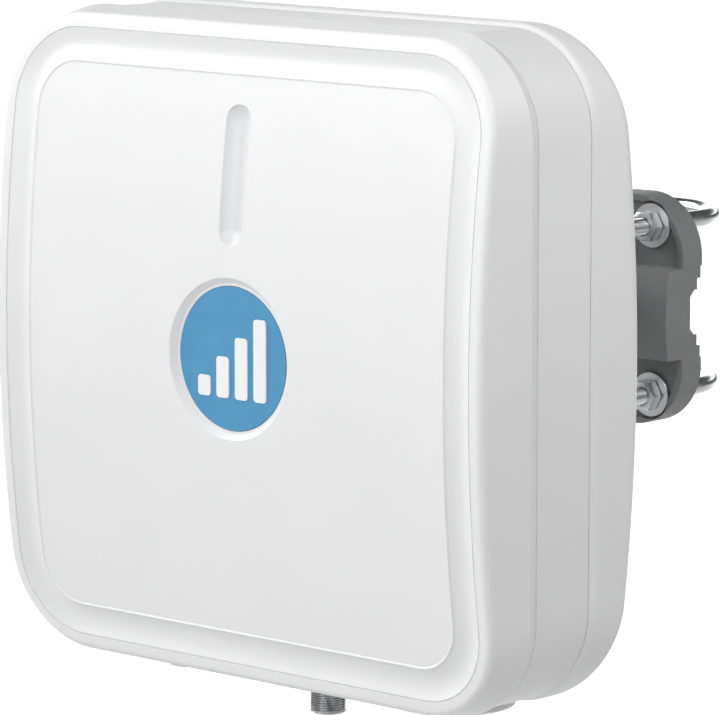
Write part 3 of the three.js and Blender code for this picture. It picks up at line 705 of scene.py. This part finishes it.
def jack_body():
    """The N type jack's body: bored, threaded outside, with a round flange against its seal."""
    low, high = from_origin("jack_body", HOUSING)
    spot = middle_of("jack_body")
    sides, bore, crest, pitch = 72, 4.4, 7.94, 1.058
    flange, flange_low, flange_top, soft = 10.8, -149.2, -146.8, 0.3

    def plain(rows):
        return [[(spot.x + u, spot.y + v, z) for u, v in circle(radius, sides)] for radius, z in rows]

    mouth = plain([(bore, high.z), (bore, low.z + 0.5), (bore + 0.4, low.z), (6.9, low.z),
                   (7.35, low.z + 0.45)])
    thread = threaded("Z", (spot.x, spot.y), low.z + 0.7, flange_low - 0.4, crest, 0.55, pitch, sides)
    top = plain([(crest, flange_low), (flange - soft, flange_low), (flange, flange_low + soft),
                 (flange, flange_top - soft), (flange - soft, flange_top), (crest, flange_top),
                 (crest, high.z)])
    return Form().looped([*mouth, *thread, *top]).mesh("jack_body", HOUSING)


def vent_plug():
    """A low round plug on a hollow neck, its rim softly rounded, with three slots across its face."""
    low, high = from_origin("vent_plug", HOUSING)
    spot = middle_of("vent_plug")
    radius, soft, neck, bore = (high.x - low.x) / 2, 1.0, 5, 2
    shoulder, bore_end = -BAND_HALF - 0.3, -BAND_HALF - 2
    profile = [[0, low.z], [radius - soft, low.z]]
    profile += [[radius - soft * (1 - sin(pi * k / 12)), low.z + soft * (1 - cos(pi * k / 12))]
                for k in range(1, 7)]
    profile += [[radius, shoulder], [neck, shoulder], [neck, high.z], [bore, high.z],
                [bore, bore_end], [0, bore_end]]
    steps = []
    for k in range(3):
        turn = pi * k / 3
        across, along = 0.6, 6.2
        points = [(spot.x + a * cos(turn) - b * sin(turn), spot.y + a * sin(turn) + b * cos(turn))
                  for a, b in [(-along, -across), (along, -across), (along, across), (-along, across)]]
        steps.append(("DIFFERENCE", prism(points, "Z", low.z - 1, low.z + 1)))
    return combine(turned(profile, "Z", (spot.x, spot.y), 96), HOUSING, steps)


COVER_SCREWS = ("cover_screw_1", "cover_screw_2")


def cable_cover():
    """A round cover with the grommet's hole and two sunk screw holes."""
    low, high = from_origin("cable_cover", HOUSING)
    spot = middle_of("cable_cover")
    radius, soft = (high.x - low.x) / 2, 0.9
    sunk_radius, sunk_depth = 3.4, 1.4
    profile = [[0, high.z], [radius, high.z]]
    profile += [[radius - soft * (1 - cos(pi * k / 8)), low.z + soft * (1 - sin(pi * k / 8))]
                for k in range(5)]
    profile += [[0, low.z]]
    steps = []
    for node in ("cable_grommet", *COVER_SCREWS):
        hole = upright_hole(node, UNDERSIDE_HOLES[node], low.z - 1, high.z + 1)
        steps.append(("DIFFERENCE", hole))
        if node in COVER_SCREWS:
            sunk = upright_hole(node, sunk_radius, low.z - 1, low.z + sunk_depth)
            steps.append(("DIFFERENCE", sunk))
    return combine(turned(profile, "Z", (spot.x, spot.y), 128), HOUSING, steps)


def grommet():
    low, high = from_origin("cable_grommet", HOUSING)
    spot = middle_of("cable_grommet")
    profile = [[0, low.z + 1.9], [1.5, low.z + 1.7], [3.1, low.z + 0.3], [3.9, low.z], [6.5, low.z],
               [7, low.z + 0.5], [7, high.z - 2], [4, high.z], [0, high.z]]
    return turned(profile, "Z", (spot.x, spot.y), 64).mesh("grommet", HOUSING)


def cover_screw(node):
    """A small screw with a low round head and a cross slot."""
    low, high = from_origin(node, HOUSING)
    spot = middle_of(node)
    profile = [[0, low.z], [2.3, low.z], [2.9, low.z + 0.2], [3.1, low.z + 0.5], [3.1, low.z + 1],
               [1.5, low.z + 1], [1.5, high.z - 0.5], [1.0, high.z], [0, high.z]]
    body = turned(profile, "Z", (spot.x, spot.y), 48)
    steps = []
    for across, along in [(0.45, 1.9), (1.9, 0.45)]:
        points = [(spot.x - across, spot.y - along), (spot.x + across, spot.y - along),
                  (spot.x + across, spot.y + along), (spot.x - across, spot.y + along)]
        steps.append(("DIFFERENCE", prism(points, "Z", low.z - 1, low.z + 0.6)))
    return combine(body, HOUSING, steps)


piece("jack_thread", jack_body(), "housing", NICKEL, ["jack_body"])
piece("vent_plug_moulding", vent_plug(), "housing", WHITE, ["vent_plug"])
piece("cable_cover_moulding", cable_cover(), "housing", WHITE, ["cable_cover"])
piece("cable_grommet_moulding", grommet(), "housing", RUBBER, ["cable_grommet"])
for node in COVER_SCREWS:
    piece(f"{node}_turned", cover_screw(node), "housing", ZINC, [node])

# ---- Flange, arm and pivots -------------------------------------------------------------------

EAR_IN, EAR_OUT, EAR_RADIUS = 13.6, 21.6, 14
PIVOT_RADIUS = 4.35  # of the holes that the pivot bolts go through


def pivot_place(bolt):
    """Where a pivot bolt's axis lies in front of the mast."""
    low, high = from_origin(bolt, CLAMP)
    return (low.y + high.y) / 2


jaw_pivot, housing_pivot = pivot_place("jaw_pivot_bolt"), pivot_place("housing_pivot_bolt")


def ear_outline(root, pivot, rise=0.0):
    """Points (y, z) of a fork ear from its root plane to its round end."""
    away = 1 if pivot > root else -1
    points = [(root, -EAR_RADIUS - 2 + rise)]
    for i in range(33):
        turn = -pi / 2 + pi * i / 32
        points.append((pivot + away * EAR_RADIUS * cos(turn), EAR_RADIUS * sin(turn) + rise))
    points.append((root, EAR_RADIUS + 2 + rise))
    return points


def ears(root, pivot, rise=0.0):
    """The two ears of a fork."""
    outline = ear_outline(root, pivot, rise)
    return [prism(outline, "X", EAR_IN, EAR_OUT), prism(outline, "X", -EAR_OUT, -EAR_IN)]


def cross_hole(y, z):
    """The tool that cuts a pivot's hole."""
    return turned([[PIVOT_RADIUS, -70], [PIVOT_RADIUS, 70]], "X", (y, z), 64)


def base_flange():
    """A square plate on the housing's back with a fork for the arm."""
    low, _ = from_origin("base_flange", HOUSING)
    half, thick, screw_hole, screw_at = 45, 5.5, 3.4, 34
    plate = prism(rounded(half, half, 8, 12), "Y", low.y, low.y + thick)
    offset = HOUSING / MM - CLAMP / MM
    pivot_y, pivot_z = housing_pivot - offset.y, -offset.z
    steps = [("UNION", ear) for ear in ears(low.y + thick - 1, pivot_y, pivot_z)]
    steps.append(("DIFFERENCE", cross_hole(pivot_y, pivot_z)))
    for spot in four_corners(screw_at):
        hole = turned([[screw_hole, low.y - 1], [screw_hole, low.y + 8]], "Y", spot, 40)
        steps.append(("DIFFERENCE", hole))
    return combine(plate, HOUSING, steps)


def arm():
    """A straight arm with round ends, a narrower waist and a long hollow in each side."""
    half_x, end_radius, half_waist, hollow = 13.2, 13, 8.5, 5
    waist = prism([(housing_pivot, -half_waist), (jaw_pivot, -half_waist),
                   (jaw_pivot, half_waist), (housing_pivot, half_waist)], "X", -half_x, half_x)
    steps = [("UNION", turned([[end_radius, -half_x], [end_radius, half_x]], "X", (y, 0), 96))
             for y in (jaw_pivot, housing_pivot)]
    middle = (jaw_pivot + housing_pivot) / 2
    outline = [(y + middle, z) for y, z in rounded(22, 4.5, 4.45, 14)]
    for start, end in ((half_x - hollow, half_x + 1), (-half_x - 1, -half_x + hollow)):
        steps.append(("DIFFERENCE", prism(outline, "X", start, end)))
    steps += [("DIFFERENCE", cross_hole(y, 0)) for y in (jaw_pivot, housing_pivot)]
    return combine(waist, CLAMP, steps)


PIVOT_SEAT = EAR_OUT + 0.3  # where the bolt's head and its nut bear
HEAD_HEIGHT, NUT_HEIGHT = 5.3, 6.8


def pivot_bolt(y):
    sides = 48

    def plain(rows):
        return [[(x, y + u, v) for u, v in circle(radius, sides)] for radius, x in rows]

    shank = plain([(M8["radius"], -PIVOT_SEAT - 1), (M8["radius"], PIVOT_SEAT - 4)])
    start, end = PIVOT_SEAT - 3.5, PIVOT_SEAT + 8.2
    thread = threaded("X", (y, 0), start, end, M8["radius"], 0.5, M8["pitch"], sides)
    form = Form().capped([*shank, *thread, *plain([(3.2, PIVOT_SEAT + 9)])])
    head = hexagonal("X", (y, 0), M8["across_flats"], -PIVOT_SEAT - HEAD_HEIGHT, -PIVOT_SEAT)
    return combine(form, CLAMP, [("UNION", head)])


def pivot_nut(y):
    far = PIVOT_SEAT + NUT_HEIGHT
    return hexagonal("X", (y, 0), M8["across_flats"], PIVOT_SEAT, far, PIVOT_RADIUS).mesh("nut", CLAMP)


piece("base_flange_casting", base_flange(), "housing", DARK, ["base_flange"], edge=0.6)
piece("arm_casting", arm(), "arm", DARK, ["arm"], edge=0.6)
for pivot, pivot_y, body in (("jaw_pivot", jaw_pivot, "clamp"), ("housing_pivot", housing_pivot, "arm")):
    piece(f"{pivot}_bolt_turned", pivot_bolt(pivot_y), body, ZINC, [f"{pivot}_bolt"])
    piece(f"{pivot}_nut_turned", pivot_nut(pivot_y), body, ZINC, [f"{pivot}_nut"])

# ---- Mast clamp -------------------------------------------------------------------------------

JAW = {"half": 54, "radius": 28.5, "rim": -36, "floor": -33.4, "back": -20.9, "wall": 3.2}
BLOCK = {"half": 21, "front": -48.7, "bow": 100}
GROOVE = [  # depth and half width of the stepped groove, from its bottom out
    (-30.4, 7.5), (-27.4, 10.5), (-25.4, 10.5), (-25.4, 15.8), (-22.9, 15.8), (-22.9, 21.4), (-15.9, 21.4),
]
LEG_X, LEG_Z = 34.5, 39.6
LEGS = [(x, z) for z in (LEG_Z, -LEG_Z) for x in (-LEG_X, LEG_X)]
LEG_HOLE, WASHER_BOSS = 4.5, 11.6


def jaw_pockets():
    """The two hollows in front, above and below the block, as flat outlines in X and Z."""
    half = JAW["half"] - JAW["wall"]
    edge = BLOCK["half"] + 0.4
    outline = rounded(half, half, JAW["radius"] - JAW["wall"], 24)
    upper = [(x, z) for x, z in outline if z > edge]
    upper = [*upper, (-half, edge), (half, edge)]
    return [upper, [(x, -z) for x, z in upper]]


def jaw_block():
    """The thick middle of the jaw, level from side to side, with a bowed front."""
    swing = atan2(BLOCK["half"], sqrt(BLOCK["bow"] ** 2 - BLOCK["half"] ** 2))
    outline = [(JAW["floor"] + 2, -BLOCK["half"])]
    for i in range(25):
        turn = -swing + 2 * swing * i / 24
        outline.append((BLOCK["front"] + BLOCK["bow"] * (1 - cos(turn)), BLOCK["bow"] * sin(turn)))
    outline.append((JAW["floor"] + 2, BLOCK["half"]))
    return prism(outline, "X", -JAW["half"], JAW["half"])


def jaw():
    """The plate with its pockets, the block, the fork, and the crossed grooves for the mast."""
    rows = [(-1.0, JAW["back"]), (0, JAW["back"] - 1.0), (0, JAW["rim"] + 0.5), (-0.5, JAW["rim"])]
    form = Form().capped([
        at_depth(rounded(JAW["half"] + grow, JAW["half"] + grow, JAW["radius"] + grow, 24), y)
        for grow, y in rows])
    above, past = JAW["rim"] - 2, JAW["half"] + 1
    steps = [("DIFFERENCE", prism(pocket, "Y", above, JAW["floor"])) for pocket in jaw_pockets()]
    steps += [("DIFFERENCE", turned([[WASHER_BOSS, above], [WASHER_BOSS, JAW["floor"]]], "Y", leg, 96))
              for leg in LEGS]
    steps.append(("UNION", jaw_block()))
    steps += [("UNION", ear) for ear in ears(BLOCK["front"] + 3, jaw_pivot)]
    level_groove = GROOVE + [(y, -z) for y, z in reversed(GROOVE)]
    upright_groove = [(z, y) for y, z in level_groove]
    steps.append(("DIFFERENCE", prism(level_groove, "X", -past, past)))
    steps.append(("DIFFERENCE", prism(upright_groove, "Z", -past, past)))
    steps.append(("DIFFERENCE", cross_hole(jaw_pivot, 0)))
    steps += [("DIFFERENCE", turned([[LEG_HOLE, -45], [LEG_HOLE, -15]], "Y", leg, 48)) for leg in LEGS]
    return combine(form, CLAMP, steps)


BEND_Y, LEG_END, THREAD_END = -2.4, -55.0, -28.0


def ubolt(level):
    """One rod: threaded leg, straight leg, half circle round the mast, and back."""
    sides = 32
    z = level * LEG_Z

    def leg(side):
        x = side * LEG_X
        tip = [(x + u, LEG_END, z + v) for u, v in circle(3.0, sides)]
        thread = threaded("Y", (x, z), LEG_END + 0.6, THREAD_END, M8["radius"], 0.68, M8["pitch"], sides)
        return [tip, *thread]

    bend = []
    for i in range(65):
        turn = pi * i / 64
        centre = Vector((LEG_X * cos(turn), BEND_Y + LEG_X * sin(turn), z))
        out = Vector((cos(turn), sin(turn), 0))
        bend.append([centre + out * u + Vector((0, 0, v)) for u, v in circle(M8["radius"], sides)])
    back_leg = [[(-2 * LEG_X - x, y, rod_z) for x, y, rod_z in ring] for ring in leg(-1)]
    return Form().capped([*leg(1), *bend, *reversed(back_leg)]).mesh("ubolt", CLAMP)


piece("jaw_casting", jaw(), "clamp", DARK, ["jaw"], edge=0.5)
for level_name, level in (("upper", 1), ("lower", -1)):
    piece(f"ubolt_{level_name}_rod", ubolt(level), f"ubolt_{level_name}", ROD_STEEL,
          [f"ubolt_{level_name}"])
    for side_name in ("left", "right"):
        node = f"washer_{level_name}_{side_name}"
        low, high = from_origin(node, CLAMP)
        leg_axis = ((low.x + high.x) / 2, (low.z + high.z) / 2)
        ring = washer(leg_axis, low.y, high.y, 4.45, (high.x - low.x) / 2)
        piece(f"{node}_turned", ring.mesh(node, CLAMP), "clamp", ZINC, [node])
        node = f"nut_{level_name}_{side_name}"
        low, high = from_origin(node, CLAMP)
        nut = hexagonal("Y", leg_axis, high.z - low.z, high.y, low.y, 4.1)
        piece(f"{node}_turned", nut.mesh(node, CLAMP), node, ZINC, [node])

# ---- Pieces that keep their CAD shape ---------------------------------------------------------

CARRIED_OVER = {
    "front_gasket": RUBBER, "rear_gasket": RUBBER, "jack_gasket": RUBBER, "cover_gasket": RUBBER,
    "indicator_board": BOARD, "antenna_board": BOARD, "radio_board": BOARD,
    "reflector_plate": SHEET, "shield_can": TIN, "ethernet_jack": TIN, "antenna_jumper": SHEATH,
    "jack_nut": NICKEL, "jack_insulator": NYLON, "jack_contact": GOLD,
}
CARRIED_OVER.update({f"antenna_spacer_{i}": NYLON for i in range(1, 5)})
CARRIED_OVER.update({f"board_standoff_{i}": NICKEL for i in range(1, 5)})
for node, look in CARRIED_OVER.items():
    for material_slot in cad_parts[node].material_slots:
        material_slot.material = look

# ---- Floor, light and camera ------------------------------------------------------------------

scene = bpy.context.scene
scene.view_settings.view_transform = "Standard"

FLOOR_HALF, FLOOR_Z = 14000, -420
floor_form = Form()
floor_form.lid(floor_form.ring([(x * FLOOR_HALF, y * FLOOR_HALF, FLOOR_Z)
                                for x, y in [(-1, -1), (1, -1), (1, 1), (-1, 1)]]))
floor_mesh = floor_form.mesh("floor", Vector())
studio_floor = bpy.data.objects.new("floor", floor_mesh)
scene.collection.objects.link(studio_floor)
floor_mesh.materials.append(finish_of("floor_paint", (0.74, 0.74, 0.74), (0.76, 0.76, 0.76), 0.5,
                                      (0.8, 0.9), 0.01, 0.0001, 0.1))


def aim(obj, place, target):
    obj.location = place
    obj.rotation_euler = (Vector(target) - Vector(place)).to_track_quat("-Z", "Y").to_euler()


def sun(name, toward, strength, angle):
    light = bpy.data.lights.new(name, "SUN")
    light.energy = strength
    light.angle = radians(angle)
    lamp = bpy.data.objects.new(name, light)
    scene.collection.objects.link(lamp)
    aim(lamp, toward, (0, 0, 0))


def softbox(name, place, target, size, power):
    light = bpy.data.lights.new(name, "AREA")
    light.shape = "RECTANGLE"
    light.size, light.size_y = size
    light.energy = power
    lamp = bpy.data.objects.new(name, light)
    lamp.visible_camera = False
    scene.collection.objects.link(lamp)
    aim(lamp, place, target)


sun("left_sun", (-1, -0.3, 0.5), 1.8, 45)
SOFTBOXES = {  # place, target, size, power
    "right_box": ((0.55, -0.6, 0.45), (0.05, -0.25, 0.1), (0.4, 0.3), 0.75),
    "side_box": ((0.8, -0.4, 0.7), (0.1, -0.2, 0.1), (0.5, 0.5), 2.2),
    "rear_side_box": ((0.5, 0.25, 0.08), (0.05, -0.03, 0), (0.3, 0.3), 0.42),
    "low_front_box": ((-0.5, -0.9, 0.45), (0, -0.25, 0.08), (0.5, 0.4), 2.1),
    "far_front_box": ((0.1, -1.5, 0.5), (0, -0.25, 0), (1.2, 1), 9.4),
    "high_corner_box": ((0.7, -0.25, 1.5), (0.1, -0.25, 0.1), (0.6, 0.6), 6.5),
    "rear_corner_box": ((1.0, 0.5, 1.0), (0.1, -0.25, 0.1), (0.6, 0.6), 3.1),
}
for box, settings in SOFTBOXES.items():
    softbox(box, *settings)

# Boxes that light only the floor behind the object, each further from the camera than the last.
BACKDROP_WAY, BACKDROP_Z = Vector((-0.669, 0.743, 0)), 0.35
for far, size, power in ((1.6, (3, 1.4), 16), (3.2, (3, 4), 52), (7.2, (3, 4), 58)):
    place = BACKDROP_WAY * far + Vector((0, 0, BACKDROP_Z))
    softbox("backdrop_box", place, place + BACKDROP_WAY * 0.01 - Vector((0, 0, 1)), size, power)

SKY_LIGHT, SKY_SEEN = 0.07, 0.5  # dim to light by, pale to look at

world = bpy.data.worlds.new("studio")
scene.world = world
world.use_nodes = True
sky = world.node_tree.nodes["Background"]
sky.inputs["Color"].default_value = (1, 1, 1, 1)
ray = world.node_tree.nodes.new("ShaderNodeLightPath")
strength = world.node_tree.nodes.new("ShaderNodeMapRange")
strength.inputs["To Min"].default_value = SKY_LIGHT
strength.inputs["To Max"].default_value = SKY_SEEN
world.node_tree.links.new(ray.outputs["Is Camera Ray"], strength.inputs["Value"])
world.node_tree.links.new(strength.outputs["Result"], sky.inputs["Strength"])

camera_data = bpy.data.cameras.new("camera")
camera_data.lens, camera_data.sensor_width = 239.75, 36
camera_data.clip_end = 60
camera = bpy.data.objects.new("camera", camera_data)
scene.collection.objects.link(camera)
azimuth, elevation, distance = radians(42.05), radians(8.72), 2.058
target = Vector((0.0467, HOUSING.y, 0.00346))
back_way = Vector((sin(azimuth) * cos(elevation), -cos(azimuth) * cos(elevation), sin(elevation)))
aim(camera, target + back_way * distance, target)
scene.camera = camera
